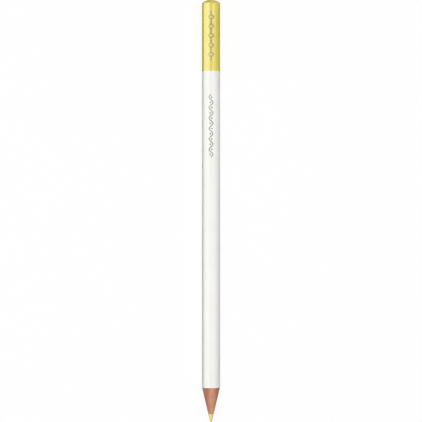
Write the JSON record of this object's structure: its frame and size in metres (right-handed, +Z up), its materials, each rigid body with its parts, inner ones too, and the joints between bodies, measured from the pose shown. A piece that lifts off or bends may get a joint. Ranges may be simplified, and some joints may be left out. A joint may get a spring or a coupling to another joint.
{
  "type": "colored pencil",
  "caption": "Round wood-cased coloured pencil with a white lacquered barrel, a pale yellow dipped and rounded end, a sharpened cedar cone and a pale yellow core.",
  "frame": {"origin": "on the surface that the pencil lies on, under the middle of its length", "axes": "+Y along the pencil from its point to its dipped end, +Z up from the surface, +X to the right seen from above with the point towards the viewer"},
  "size_m": [0.0076, 0.176, 0.0076],
  "materials": {
    "core_wax": "waxy, cut by the sharpener",
    "wood_glue": "dried film",
    "cedar": "bare, cut by the sharpener",
    "primer": "matt base coat",
    "white_lacquer": "glossy lacquer",
    "yellow_lacquer": "glossy dipped lacquer",
    "silver_foil": "hot-stamped foil, on the dipped end",
    "grey_ink": "printed ink, on the barrel"
  },
  "bodies": {
    "root": {"color_core": "core_wax", "core_glue_sleeve": "wood_glue", "upper_slat": "cedar", "lower_slat": "cedar", "left_seam_glue": "wood_glue", "right_seam_glue": "wood_glue", "primer_coat": "primer", "white_lacquer_coat": "white_lacquer", "end_cap_dip": "yellow_lacquer"}
  },
  "joints": []
}
